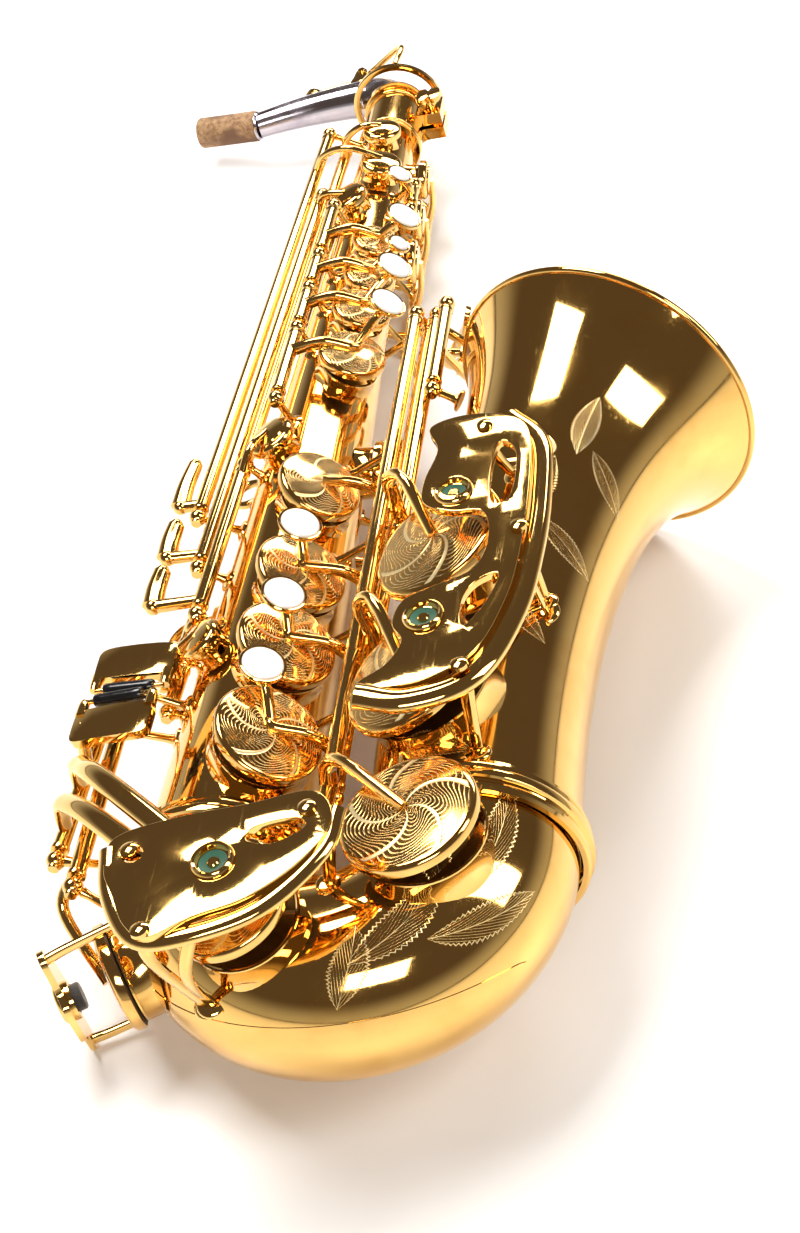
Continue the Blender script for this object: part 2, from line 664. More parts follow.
def swept(bm, steps, centre, across, radius, sides, along, grow=0.0):
    """Tube through steps; writes the engraving map as (length along, arc from the front)."""
    uv = bm.loops.layers.uv.get("engraving") or bm.loops.layers.uv.new("engraving")
    rings, spots = [], {}
    for i, s in enumerate(steps):
        n = across(s)
        d = n.cross(Z).normalized()
        matrix = Matrix((n, Z, d)).transposed().to_4x4()
        matrix.translation = centre(s)
        edges = circle(bm, matrix, radius(s) + grow, sides)
        for v in {v for e in edges for v in e.verts}:
            rel = v.co - centre(s)
            turn = math.atan2(rel.z, rel.dot(n))
            spots[v] = (along(s), turn, radius(s))
        rings.append(edges)
    before = set(bm.faces)
    skin(bm, rings, caps=False)
    for f in set(bm.faces) - before:
        turns = [spots[l.vert][1] for l in f.loops]
        wrap = max(turns) - min(turns) > math.pi
        for l in f.loops:
            s, turn, r = spots[l.vert]
            turn += math.tau if wrap and turn < 0 else 0
            l[uv].uv = (s, turn * r / 100)
    return rings


def shell(bm, steps, centre, across, radius, sides, along, closed=True):
    """Outer and inner wall of a swept tube, joined at both ends."""
    outer = swept(bm, steps, centre, across, radius, sides, along)
    before = set(bm.faces)
    inner = swept(bm, steps, centre, across, radius, sides, along, -WALL)
    for f in set(bm.faces) - before:
        f.material_index = 1
    if closed:
        for a, b in ((outer[0], inner[0]), (outer[-1], inner[-1])):
            bmesh.ops.bridge_loops(bm, edges=a + b)


def chimney(bm, hole, depth):
    """Tone hole: turned wall with a rolled rim and a dark floor."""
    p, d, r = hole[:3]
    m = place(p, d)
    spin(bm, m, [(r + 1.6, -depth), (r + 1.1, -depth + 1.8), (r + 1.0, -1.2), (r + 1.3, -0.7),
                 (r + 1.2, -0.1), (r + 0.6, 0), (r, -0.4), (r, -depth)])
    before = set(bm.faces)
    spin(bm, m, [(r, -depth * 0.55), (0.01, -depth * 0.55)], 32)
    for f in set(bm.faces) - before:
        f.material_index = 1


def torus(bm, m, ring_r, r, sides=96):
    spin(bm, m, [(ring_r + r * math.cos(math.tau * k / 12), r * math.sin(math.tau * k / 12))
                 for k in range(13)], sides)


def make_bell():
    st = bpy.context.scene.saxophone
    bm = bmesh.new()
    steps = [BELL_LEN * (1 - (1 - i / st.rings) ** 1.5) for i in range(st.rings + 1)]
    shell(bm, steps, bell_c, lambda s: Vector((math.cos(bell_tilt(s)), -math.sin(bell_tilt(s)), 0)),
          bell_r, st.sides, lambda s: s / 100)
    for hole in BELL_HOLES.values():
        chimney(bm, hole, 12)
    bell = finish_piece(bm, "bell_horn", "body", mats()["bell"], ["bell"], extra=(mats()["inside"],))
    bm = bmesh.new()
    mouth = place(bell_c(BELL_LEN), (math.sin(TILT1), math.cos(TILT1), 0))
    torus(bm, mouth, BELL_RIM - 0.6, 1.5, st.sides)
    finish_piece(bm, "bell_rim_roll", "body", mats()["gold"])
    return bell


def make_bow():
    st = bpy.context.scene.saxophone
    bm = bmesh.new()
    angles = [180 * i / st.rings for i in range(st.rings + 1)]
    shell(bm, angles, bow_c, bow_dir, bow_r, st.sides, lambda a: BOW_RAD * math.radians(a) / 100)
    for hole in BOW_HOLES.values():
        chimney(bm, hole, 12 if hole is not BOW_HOLES["eb"] else 9)
    for x, r in ((0, BOW_R0), (2 * BOW_RAD, BOW_R1)):
        spin(bm, place((x, BOW_Y - 0.5, 0), Y), [(r - 1, 0), (r + 0.02, 0), (r + 0.02, 4), (r - 1, 4)], 96)
    return finish_piece(bm, "bow_bend", "body", mats()["bow"], ["bow"], extra=(mats()["inside"],))


def make_tube():
    st = bpy.context.scene.saxophone
    bm = bmesh.new()
    spin(bm, place((0, 0, 0), Y), [(BODY_R0 - 1, 0), (BODY_R0, 0), (BODY_R1, BODY_LEN),
                                   (BODY_R1 - 1, BODY_LEN)], st.sides)
    for hole in HOLES.values():
        chimney(bm, hole, hole[3] + 2.5)
    return finish_piece(bm, "body_cone", "body", mats()["gold"], ["body_tube"], extra=(mats()["inside"],))


def make_rings():
    """Turned joint rings, each with beads and grooves."""
    for name, x, r, node in (("ring_body_bow", 0, BODY_R0 + 1.4, "body_bow_ring"),
                             ("ring_bow_bell", 2 * BOW_RAD, BELL_R0 + 1.4, "bow_bell_ring")):
        bm = bmesh.new()
        shape = [(r - 1, -6), (r + 0.6, -6), (r + 1.6, -5.2), (r + 1.7, -4), (r + 0.9, -3.2), (r + 0.7, -2.6),
                 (r + 0.9, -2.2), (r + 2.4, -1.5), (r + 2.9, 0), (r + 2.4, 1.5), (r + 0.9, 2.2), (r + 0.7, 2.6),
                 (r + 0.9, 3.2), (r + 1.7, 4), (r + 1.6, 5.2), (r + 0.6, 6), (r - 1, 6)]
        spin(bm, place((x, 0, 0), Y), shape, 96)
        finish_piece(bm, name, "body", mats()["gold"], [node])


def make_shield():
    """Pointed plate over the outer bend of the bow."""
    st = bpy.context.scene.saxophone
    bm = bmesh.new()
    bmesh.ops.create_grid(bm, x_segments=64, y_segments=16, size=1.0)
    start, end = 34, 146
    for v in bm.verts:
        u, w = (v.co.x + 1) / 2, v.co.y
        half = 2 + 24 * math.sin(math.pi * u) ** 0.7
        a = start + (end - start) * u
        t = math.radians(w * half)
        v.co = bow_c(a) + (bow_r(a) + 0.25) * (math.cos(t) * bow_dir(a) + math.sin(t) * Z)
    bmesh.ops.recalc_face_normals(bm, faces=bm.faces)
    bmesh.ops.solidify(bm, geom=bm.faces, thickness=-1.15)
    finish_piece(bm, "bow_shield", "body", mats()["gold"], ["bow_guard_plate"], angle=50)


# ---------- fittings ----------

def post_at(bm, line, y, root):
    """Ball post: foot flange, turned stem and a drilled ball for the rod."""
    p = on_rod(line, y)
    along = (p - root)
    length = along.length
    m = place(root, along)
    spin(bm, m, [(0.01, 0.2), (4.4, 0.2), (4.4, 1.0), (3.6, 1.5), (2.0, 2.0), (1.55, min(4, length * 0.4)),
                 (1.45, length * 0.75), (1.9, length - 3.6), (1.2, length - 3.2), (0.01, length - 3.0)], 24)
    d = (line[1] - line[0]).normalized()
    ball(bm, p, 3.42, 1.0, d)
    spin(bm, place(p - d * 3.9, d), [(0.01, 0), (1.9, 0), (2.1, 0.4), (2.1, 7.4), (1.9, 7.8), (0.01, 7.8)], 20)


def tube_foot(line, y):
    p = on_rod(line, y)
    flat = Vector((p.x, 0, p.z)).normalized()
    return flat * (tube_r(y) - 0.6) + Y * y


def bell_foot(line, y, s):
    p, c = on_rod(line, y), bell_c(s)
    d = Vector((p.x - c.x, 0, p.z - c.z)).normalized()
    return c + d * (bell_r(s) - 0.6)


def make_posts():
    bm = bmesh.new()
    sets = (("lower", (9, 49, 90, 137, 190)), ("upper", (215, 266, 297, 324, 366)), ("low_eb", (64,)),
            ("low_c", (52,)), ("side_e", (160, 457)), ("side_c", (128, 397)), ("side_bb", (98, 186)),
            ("high_fs", (96, 459)), ("trill", (63, 89)), ("palm", (336, 374, 412, 450)),
            ("front_f", (378, 400)), ("octave", (322, 404)), ("gs", (190, 220)), ("low_b", (264,)))
    for name, heights in sets:
        for y in heights:
            post_at(bm, ROD[name], y, tube_foot(ROD[name], y))
    for name in ("cs", "low_bb", "gs_touch"):
        ball(bm, on_rod(ROD[name], 264), 3.42)
    for a, b in (("cs", "low_b"), ("low_b", "low_bb"), ("low_bb", "gs_touch")):
        rod(bm, on_rod(ROD[a], 264), on_rod(ROD[b], 264), 1.4)
    post_at(bm, ROD["low_eb"], -24, bow_wall(24, 30))
    post_at(bm, ROD["low_c"], -8, bow_wall(6, 36))
    finish_piece(bm, "posts_on_body", "body", mats()["keys"], ["body_posts"])
    bm = bmesh.new()
    post_at(bm, ROD["cs"], -10, bow_wall(171, 128))
    post_at(bm, ROD["low_b"], 60, bell_foot(ROD["low_b"], 60, 60))
    post_at(bm, ROD["low_bb"], 124, bell_foot(ROD["low_bb"], 124, 124))
    post_at(bm, ROD["gs_touch"], 206, bell_foot(ROD["gs_touch"], 206, 206))
    finish_piece(bm, "posts_on_bell", "body", mats()["keys"], ["bell_posts"])


def make_brace():
    bm = bmesh.new()
    torus(bm, place((36, 152, -4.5), Z), 8.4, 1.7, 48)
    arm(bm, [(24, 152, -4.5), (26, 152, -4.5), (28, 152, -4.5)], 3.2, 1.8)
    arm(bm, [(51, 152, -4.5), (47, 152, -4.5), (44, 152, -4.5)], 3.2, 1.8)
    finish_piece(bm, "brace_ring", "body", mats()["gold"], ["bell_brace"])


def felt_bumper(bm_cup, bm_felt, bm_green, p, d):
    """Adjuster cup with its felt: brass rim, dark felt and a green slotted centre."""
    m = place(p, d)
    spin(bm_cup, m, [(5.0, -1.4), (6.6, -1.2), (6.9, 2.6), (6.6, 3.6), (5.9, 4.1), (5.2, 3.7), (4.7, 2.2),
                     (3.2, 1.6), (3.0, -1.4)], 40)
    spin(bm_cup, m, [(0.01, 2.6), (1.5, 2.6), (1.9, 2.2), (1.9, 1.0), (0.01, 1.0)], 24)
    spin(bm_felt, m, [(0.01, -4.2), (4.2, -4.2), (4.6, -3.8), (4.6, -1.2), (0.01, -1.2)], 32)
    spin(bm_green, m, [(1.9, 1.5), (3.3, 1.7), (4.4, 2.2), (3.3, 1.2), (1.9, 1.2)], 32)


def guard_foot(bm, points, r0=2.6, r1=2.0, pad=4.6):
    """Flattened leg that spreads into a foot with a pad."""
    arm(bm, points, r0, r1, 0.6, wide=None)
    ball(bm, points[-1], pad, 0.3, Vector(points[-1]) - Vector(points[-2]))


def make_guards():
    cups, felts, greens = bmesh.new(), bmesh.new(), bmesh.new()
    # low B and Bb: rounded outline, leaf cut-outs, deep rail down its outer side
    bm = bmesh.new()
    z = 64
    outline = rounded([(74, 96), (73, 108), (76, 124), (72, 137), (84, 142), (99, 139), (108, 128), (110, 96),
                       (109, 66), (106, 44), (98, 22), (84, 12), (70, 10), (62, 13), (70, 20), (74, 30), (70, 38),
                       (72, 48), (80, 53), (94, 60), (98, 74), (95, 88), (84, 90)])
    holes = [rounded([(98, 92), (104, 96), (104, 118), (98, 124), (96, 108)]),
             rounded([(93, 34), (99, 42), (103, 56), (96, 54), (92, 46)]),
             ring_at(84, 103, 4.9), ring_at(80, 40, 4.9)]
    sheet_face(bm, outline, Matrix.Translation((0, 0, z)), 2.6, holes, 0.9)
    arm(bm, [(62, 9, z + 1), (78, 7, z - 1), (97, 16, z - 2), (108, 42, z - 2), (112, 70, z - 2),
             (113, 98, z - 2), (111, 126, z - 1), (100, 141, z)], 3.2, 2.4, 1.5, wide=(0, 0, 1), sides=18)
    guard_foot(bm, [(110, 84, z), (108, 80, z - 8), bell_wall(80, 50, -0.4)])
    guard_foot(bm, [(110, 62, z), (109, 68, z - 8), bell_wall(76, 48, -0.4)], 2.2, 1.8)
    guard_foot(bm, [(95, 16, z), (94, 14, z - 10), bell_wall(10, 76, -0.4)])
    guard_foot(bm, [(92, 136, z), (92, 135, z - 9), bell_wall(136, 86, -0.4)])
    finish_piece(bm, "guard_b_bb", "body", mats()["keys"], ["guard_low_b_bb"])
    felt_bumper(cups, felts, greens, (84, 100, z), Z)
    felt_bumper(cups, felts, greens, (80, 40, z), Z)
    # low C: a wide bow-shaped plate with a small hole and a slot
    bm = bmesh.new()
    z = 62
    outline = rounded([(-6, -40), (12, -34), (34, -31), (54, -28), (61, -40), (54, -54), (40, -66), (24, -72),
                       (12, -78), (4, -73), (-2, -62), (-7, -52)])
    holes = [ring_at(1, -47, 3.2), rounded([(38, -40), (50, -38), (53, -42), (44, -47), (36, -45)]),
             ring_at(27, -52, 4.9)]
    sheet_face(bm, outline, Matrix.Translation((0, 0, z)), 2.6, holes, 0.9)
    arm(bm, [(-7, -44, z + 1), (-4, -59, z - 1), (6, -74, z - 2), (20, -75, z - 2), (42, -67, z - 2),
             (58, -49, z - 1), (61, -34, z)], 2.6, 2.2, 1.4, wide=(0, 0, 1), sides=18)
    guard_foot(bm, [(10, -76, z), (9, -76, z - 12), bow_wall(64, 30, -0.4)])
    guard_foot(bm, [(24, -73, z), (16, -75, z - 20), bow_wall(65, 32, -0.4)], 2.2, 1.8)
    guard_foot(bm, [(53, -35, z), (55, -35, z - 10), bow_wall(104, 108, -0.4)])
    guard_foot(bm, [(0, -46, z), (0, -46, z - 12), bow_wall(45, 60, -0.4)])
    finish_piece(bm, "guard_c", "body", mats()["keys"], ["guard_low_c"])
    felt_bumper(cups, felts, greens, (27, -52, z), Z)
    # low Eb
    bm = bmesh.new()
    p = BOW_HOLES["eb"][0] + 19.5 * N_EB
    sheet_face(bm, rounded([(-23, -3), (-12, -6), (-8, -11), (0, -12), (8, -11), (12, -6), (23, -3), (23, 3),
                            (12, 6), (8, 11), (0, 12), (-8, 11), (-12, 6), (-23, 3)]),
               place(p, N_EB), 2.2, [ring_at(0, 0, 4.9)], 0.8)
    for w in (-50, 50):
        guard_foot(bm, [p + N_EB + Z * (21 if w > 0 else -21), p - N_EB * 9 + Z * (22 if w > 0 else -22),
                        bow_wall(28, w, 0.4)], 2.2, 1.9, 3.0)
    finish_piece(bm, "guard_eb", "body", mats()["keys"], ["guard_low_eb"])
    felt_bumper(cups, felts, greens, p, N_EB)
    finish_piece(cups, "bumper_cups", "body", mats()["keys"])
    finish_piece(felts, "bumper_felts", "body", mats()["felt"], ["guard_felts"])
    finish_piece(greens, "bumper_centres", "body", mats()["green"], ())
    bm = bmesh.new()
    for spot in ((108, 78, 67), (94, 16, 67), (92, 134, 67), (10, -76, 65), (53, -35, 65), (0, -46, 65)):
        m = place(spot, Z, 30)
        spin(bm, m, [(0.01, 1.5), (1.6, 1.4), (2.7, 0.8), (2.9, -0.4), (0.01, -0.4)], 28)
    finish_piece(bm, "guard_screw_heads", "body", mats()["keys"], ["guard_screws"])


# ---------- keys ----------

def cup(bm, bm_pad, hole, engraved=True):
    """Key cup: domed lid with a rolled shoulder over its leather pad."""
    p, d, r = hole[:3]
    m = place(p, d)
    big = r + 3.2
    shape = [(big - 0.8, 0.9), (big, 1.0), (big + 0.05, 3.4), (big - 0.25, 4.1), (big - 0.9, 4.6),
             (big - 1.8, 4.85), (big - 2.6, 4.9), (big * 0.72, 5.5), (big * 0.45, 6.0),
             (big * 0.2, 6.25), (0.01, 6.3)]
    before = set(bm.faces)
    spin(bm, m, shape, 64)
    uv = bm.loops.layers.uv.get("engraving") or bm.loops.layers.uv.new("engraving")
    back = m.inverted()
    for f in set(bm.faces) - before:
        f.material_index = 1 if engraved else 0
        for l in f.loops:
            q = back @ l.vert.co
            l[uv].uv = (q.x / big, q.y / big)
    spin(bm_pad, m, [(0.01, 0.45), (r - 1, 0.45), (r + 2.0, 0.5), (r + 2.6, 0.9), (r + 2.6, 1.6), (0.01, 1.6)], 48)
    return m


def barrel(bm, line, y0, y1):
    """Hinge barrel with a turned collar at each end."""
    a, b = on_rod(line, y0), on_rod(line, y1)
    length = (b - a).length
    r = 2.85
    spin(bm, place(a, b - a), [(1.5, 0), (r + 0.2, 0), (r + 0.35, 0.4), (r + 0.35, 1.6), (r, 2.0), (r, length - 2.0),
                               (r + 0.35, length - 1.6), (r + 0.35, length - 0.4), (r + 0.2, length),
                               (1.5, length)], 32)


def cup_top(hole, h=6.2):
    return Vector(hole[0]) + h * Vector(hole[1])


def dish(bm, spot):
    t, y, gap, r = spot
    spin(bm, place(off_tube(t, y, gap), round_dir(t)),
         [(0.01, 0), (r * 0.6, 0), (r + 0.6, 0.7), (r + 1.0, 1.5), (r + 1.0, 2.3), (r + 0.75, 2.6), (r + 0.2, 2.5),
          (r + 0.1, 1.0), (0.01, 1.0)], 48)


def touch_plate(bm, p, d, lx, ly, t, turn=0.0, power=2.4, dome=0.012):
    m = place(p, d, turn) @ Matrix.Translation((0, 0, -t / 2))
    sheet_face(bm, oval(lx, ly, 44, power), m, t, (), min(0.8, t * 0.4), dome)


PEARLS = {"f": (68, 118, 20, 7.2), "e": (68, 81, 19, 7.2), "d": (70, 47, 17, 7.2), "g": (42, 274, 20, 7.2),
          "a": (42, 302, 20.5, 7.2), "bis": (42, 322, 20, 4.2), "b": (42, 343, 21, 7.2),
          "front_f": (52, 388, 17, 5)}


def finish_key(bm, bm_pad, name, line, extra_nodes=()):
    """Turns a key from closed to rest and hands both of its meshes over."""
    turn = swing(line, REST.get(name, 0))
    for mesh in (bm, bm_pad):
        bmesh.ops.transform(mesh, matrix=turn, verts=mesh.verts)
    label = name.replace("key_", "")
    finish_piece(bm, label + "_work", name + "_body", mats()["keys"], [name, *extra_nodes],
                 extra=(mats()["cup"],))
    if len(bm_pad.verts):
        finish_piece(bm_pad, label + "_pad", name + "_body", mats()["pad"])
    else:
        bm_pad.free()


def make_pearl(name, line):
    t, y, gap, r = PEARLS[name]
    bm = bmesh.new()
    spin(bm, place(off_tube(t, y, gap), round_dir(t)),
         [(0.01, 1.05), (r - 0.1, 1.05), (r - 0.1, 2.5), (r - 0.5, 2.95), (r * 0.75, 3.15), (r * 0.4, 3.05),
          (0.01, 3.0)], 48)
    bmesh.ops.transform(bm, matrix=swing(line, REST.get("key_" + name, 0)), verts=bm.verts)
    finish_piece(bm, name + "_pearl", "key_" + name + "_body", mats()["pearl"], ["pearl_" + name])


def make_stack():
    """The six main keys and their neighbours on the two stack rods."""
    rows = (("d", "lower", 12.8, 45.2), ("e", "lower", 52.8, 86.2), ("f", "lower", 93.8, 133.2),
            ("g", "upper", 218.8, 262.2), ("a", "upper", 269.8, 293.2), ("bis", "upper", 300.8, 320.2),
            ("b", "upper", 327.8, 362.2))
    for name, line, y0, y1 in rows:
        bm, pad = bmesh.new(), bmesh.new()
        barrel(bm, ROD[line], y0, y1)
        hole, spot = HOLES[name], PEARLS[name]
        cup(bm, pad, hole)
        start = on_rod(ROD[line], hole[0].y)
        out = (cup_top(hole, 10) * 0.5 + start * 0.5) + round_dir(80 if line == "upper" else 42) * 2.0
        end = cup_top(hole, 5.6) * 0.8 + off_tube(*spot[:3]) * 0.2
        arm(bm, [start, out, cup_top(hole, 6.6), end], 2.1, 1.7, 1.3, wide=Y)
        foot = off_tube(spot[0], spot[1], spot[2] + 0.4)
        arm(bm, [cup_top(hole, 5.6), (cup_top(hole, 7.5) + foot) / 2, foot], 2.0, 1.8)
        dish(bm, spot)
        finish_key(bm, pad, "key_" + name, ROD[line])
        make_pearl(name, ROD[line])
    bm, pad = bmesh.new(), bmesh.new()
    barrel(bm, ROD["lower"], 140.8, 186.2)
    cup(bm, pad, HOLES["fs"])
    start = on_rod(ROD["lower"], 160)
    arm(bm, [start, (start + cup_top(HOLES["fs"], 9)) / 2 + Z * 1.5, cup_top(HOLES["fs"], 6.2)],
        2.1, 1.7, 1.3, wide=Y)
    finish_key(bm, pad, "key_fork_f_sharp", ROD["lower"])
    bm, pad = bmesh.new(), bmesh.new()
    barrel(bm, ROD["front_f"], 381.8, 396.2)
    spot = PEARLS["front_f"]
    dish(bm, spot)
    arm(bm, [on_rod(ROD["front_f"], 388), off_tube(40, 388, 15.5), off_tube(spot[0], spot[1], spot[2] + 0.4)],
        1.8, 1.6)
    finish_key(bm, pad, "key_front_f", ROD["front_f"])
    make_pearl("front_f", ROD["front_f"])


def make_bell_keys():
    """Low C sharp, B and Bb cups with their left-hand plates, and the G sharp pair."""
    left = round_dir(-30)
    bm, pad = bmesh.new(), bmesh.new()
    line = ROD["cs"]
    barrel(bm, line, -6.2, 260.2)
    cup(bm, pad, BOW_HOLES["cs"])
    arm(bm, [on_rod(line, 5), (50, 2, 43), (60, -6, 49), cup_top(BOW_HOLES["cs"], 6.2)], 2.4, 1.9, 1.3, wide=Y)
    arm(bm, [on_rod(line, 252), (38, 254, 24), (35, 258, 6), (37, 286, -5), (49.5, 290, -11.7)], 2.1, 1.9)
    touch_plate(bm, (50, 291, -12), left, 26, 12, 2.4, power=4)
    finish_key(bm, pad, "key_low_c_sharp", line)
    bm, pad = bmesh.new(), bmesh.new()
    line = ROD["low_b"]
    barrel(bm, line, 63.8, 260.2)
    cup(bm, pad, BELL_HOLES["low_b"])
    arm(bm, [on_rod(line, 67), (54, 66, 36), (56, 64, 51), (64, 58, 57), cup_top(BELL_HOLES["low_b"], 6.2)], 2.4, 1.9,
        1.3, wide=Y)
    arm(bm, [on_rod(line, 250), (50, 262, 4), (50, 276, -4)], 2.1, 1.8)
    touch_plate(bm, (50, 278, -5), left, 12, 12, 2.4, power=4)
    finish_key(bm, pad, "key_low_b", line)
    bm, pad = bmesh.new(), bmesh.new()
    line = ROD["low_bb"]
    barrel(bm, line, 127.8, 260.2)
    cup(bm, pad, BELL_HOLES["bb"])
    arm(bm, [on_rod(line, 133), (56, 129, 44), (60, 124, 56), (68, 116, 60), cup_top(BELL_HOLES["bb"], 6.2)],
        2.4, 1.9, 1.3, wide=Y)
    arm(bm, [on_rod(line, 244), (56, 256, 0), (51, 276, -19)], 2.1, 1.8)
    touch_plate(bm, (50, 278, -20), left, 12, 12, 2.4, power=4)
    finish_key(bm, pad, "key_low_bb", line)
    bm, pad = bmesh.new(), bmesh.new()
    line = ROD["gs_touch"]
    barrel(bm, line, 209.8, 260.2)
    arm(bm, [on_rod(line, 246), (67, 254, 20), (67, 302, 8), (52, 308, -9)], 2.1, 1.8)
    touch_plate(bm, (50, 308, -12), left, 26, 12, 2.4, power=4)
    finish_key(bm, pad, "key_g_sharp_touch", line)
    bm, pad = bmesh.new(), bmesh.new()
    line = ROD["gs"]
    barrel(bm, line, 193.8, 216.2)
    cup(bm, pad, HOLES["gs"])
    arm(bm, [on_rod(line, 205), cup_top(HOLES["gs"], 6.0)], 1.9, 1.7)
    finish_key(bm, pad, "key_g_sharp", line)


def finger_plate(bm, y0, roller_y, z=39.9):
    """Right little-finger plate: a pillow with two ears that hold its roller."""
    x0, x1 = -45.5, -16.5
    middle = Matrix.Translation(((x0 + x1) / 2, y0 + 7.5, z - 1.6))
    sheet_face(bm, oval(x1 - x0, 15, 48, 6), middle, 3.6, (), 1.6, 0.004)
    for x in (x0 + 1.6, x1 - 1.6):
        rod_y = roller_y
        edge = y0 + 15 if roller_y > y0 else y0
        arm(bm, [(x, edge - math.copysign(2, edge - y0 - 7), z), (x, (edge + rod_y) / 2, z + 0.2), (x, rod_y, z)],
            2.2, 1.7)
    rod(bm, (x0 + 2, roller_y, 40), (x1 - 2, roller_y, 40), 0.9)


def make_little_finger():
    line = ROD["low_c"]
    bm, pad = bmesh.new(), bmesh.new()
    hole = BOW_HOLES["c"]
    barrel(bm, line, -4.2, 48.2)
    cup(bm, pad, hole)
    arm(bm, [on_rod(line, 24), (-44, 20, 34), (-38, 14, 40), (-20, -4, 47), cup_top(hole, 6.6) + Vector((1, 5, 0))],
        2.0, 2.6, 1.6, wide=Z)
    arm(bm, [on_rod(line, 5), (-46, 3, 32), (-40, -1, 39), (-20, -18, 45), cup_top(hole, 6.6) - Vector((4, 4, 0))],
        2.0, 2.6, 1.6, wide=Z)
    arm(bm, [on_rod(line, 32), (-44, 32.6, 36), (-41, 33, 40)], 2.4, 2.0)
    finger_plate(bm, 24, 43.6)
    finish_key(bm, pad, "key_low_c", line)
    line = ROD["low_eb"]
    bm, pad = bmesh.new(), bmesh.new()
    hole = BOW_HOLES["eb"]
    barrel(bm, line, -20.2, 60.2)
    cup(bm, pad, hole)
    arm(bm, [on_rod(line, -17), (-46, -25, 15), cup_top(hole, 6.6)], 2.2, 1.9)
    arm(bm, [on_rod(line, 56), (-38, 58, 34), (-35, 60, 40)], 2.4, 2.0)
    finger_plate(bm, 54, 49.2)
    finish_key(bm, pad, "key_low_eb", line)
    for name, y, body, turn in (("roller_low_c", 43.6, "roller_c", -5), ("roller_low_eb", 49.2, "roller_eb", 0)):
        bm = bmesh.new()
        m = place((-40, y, 40), X)
        spin(bm, m, [(0.95, 0), (2.0, 0), (2.35, 0.5), (2.4, 3), (2.4, 15), (2.35, 17.5), (2.0, 18), (0.95, 18)], 40)
        if turn:
            bmesh.ops.transform(bm, matrix=swing(ROD["low_c"], turn), verts=bm.verts)
        finish_piece(bm, name + "_black", body, mats()["roller"], [name])


def make_side_keys():
    rows = (
        ("key_side_e", "side_e", 163.8, 453.2, "side_e",
         [on_rod(ROD["side_e"], 420), off_tube(128, 419, 19), off_tube(104, 416, 16), cup_top(HOLES["side_e"], 6)],
         [on_rod(ROD["side_e"], 168), off_tube(153, 167, 26), off_tube(153, 180, 26.6), off_tube(153, 194, 26)], 2.4),
        ("key_side_c", "side_c", 131.8, 393.2, "side_c",
         [on_rod(ROD["side_c"], 387), off_tube(124, 386, 13.6), cup_top(HOLES["side_c"], 6)],
         [on_rod(ROD["side_c"], 136), off_tube(149, 134, 24), off_tube(150, 144, 25), off_tube(150, 154, 25)], 2.6),
        ("key_side_bb", "side_bb", 101.8, 182.2, "side_bb",
         [on_rod(ROD["side_bb"], 178), off_tube(115, 187, 13), cup_top(HOLES["side_bb"], 6)],
         [on_rod(ROD["side_bb"], 106), off_tube(145, 104, 23), off_tube(146, 114, 24), off_tube(146, 124, 24)], 2.6),
    )
    for name, line, y0, y1, hole, to_cup, to_touch, r in rows:
        bm, pad = bmesh.new(), bmesh.new()
        barrel(bm, ROD[line], y0, y1)
        cup(bm, pad, HOLES[hole], False)
        arm(bm, to_cup, 1.9, 1.5)
        arm(bm, to_touch[:2], 2.2, r)
        arm(bm, to_touch[1:], r + 0.2, r - 0.4, 1.5, wide=Y.cross(round_dir(150)))
        ball(bm, to_touch[1], r + 0.5)
        ball(bm, to_touch[-1], r + 0.1)
        finish_key(bm, pad, name, ROD[line])
    line = ROD["high_fs"]
    bm, pad = bmesh.new(), bmesh.new()
    barrel(bm, line, 99.8, 455.2)
    cup(bm, pad, HOLES["high_fs"], False)
    arm(bm, [on_rod(line, 447), off_tube(130, 446, 10.5), off_tube(104, 445, 11.5), cup_top(HOLES["high_fs"], 6)],
        1.9, 1.5)
    touch_plate(bm, off_tube(150, 113, 7), round_dir(150), 26, 9, 2, 90, 2.0)
    arm(bm, [on_rod(line, 106), off_tube(156, 106, 8), off_tube(150, 107, 7)], 2.0, 1.6)
    finish_key(bm, pad, "key_high_f_sharp", line)
    line = ROD["trill"]
    bm, pad = bmesh.new(), bmesh.new()
    barrel(bm, line, 66.8, 85.2)
    cup(bm, pad, HOLES["trill"], False)
    arm(bm, [on_rod(line, 79), off_tube(138, 80, 10.4), cup_top(HOLES["trill"], 6)], 1.9, 1.5)
    touch_plate(bm, off_tube(148, 80, 12), round_dir(148), 24, 12, 2, 90, 2.0)
    arm(bm, [on_rod(line, 73), off_tube(151, 73, 10), off_tube(148, 74, 12)], 2.0, 1.6)
    finish_key(bm, pad, "key_trill_f_sharp", line)


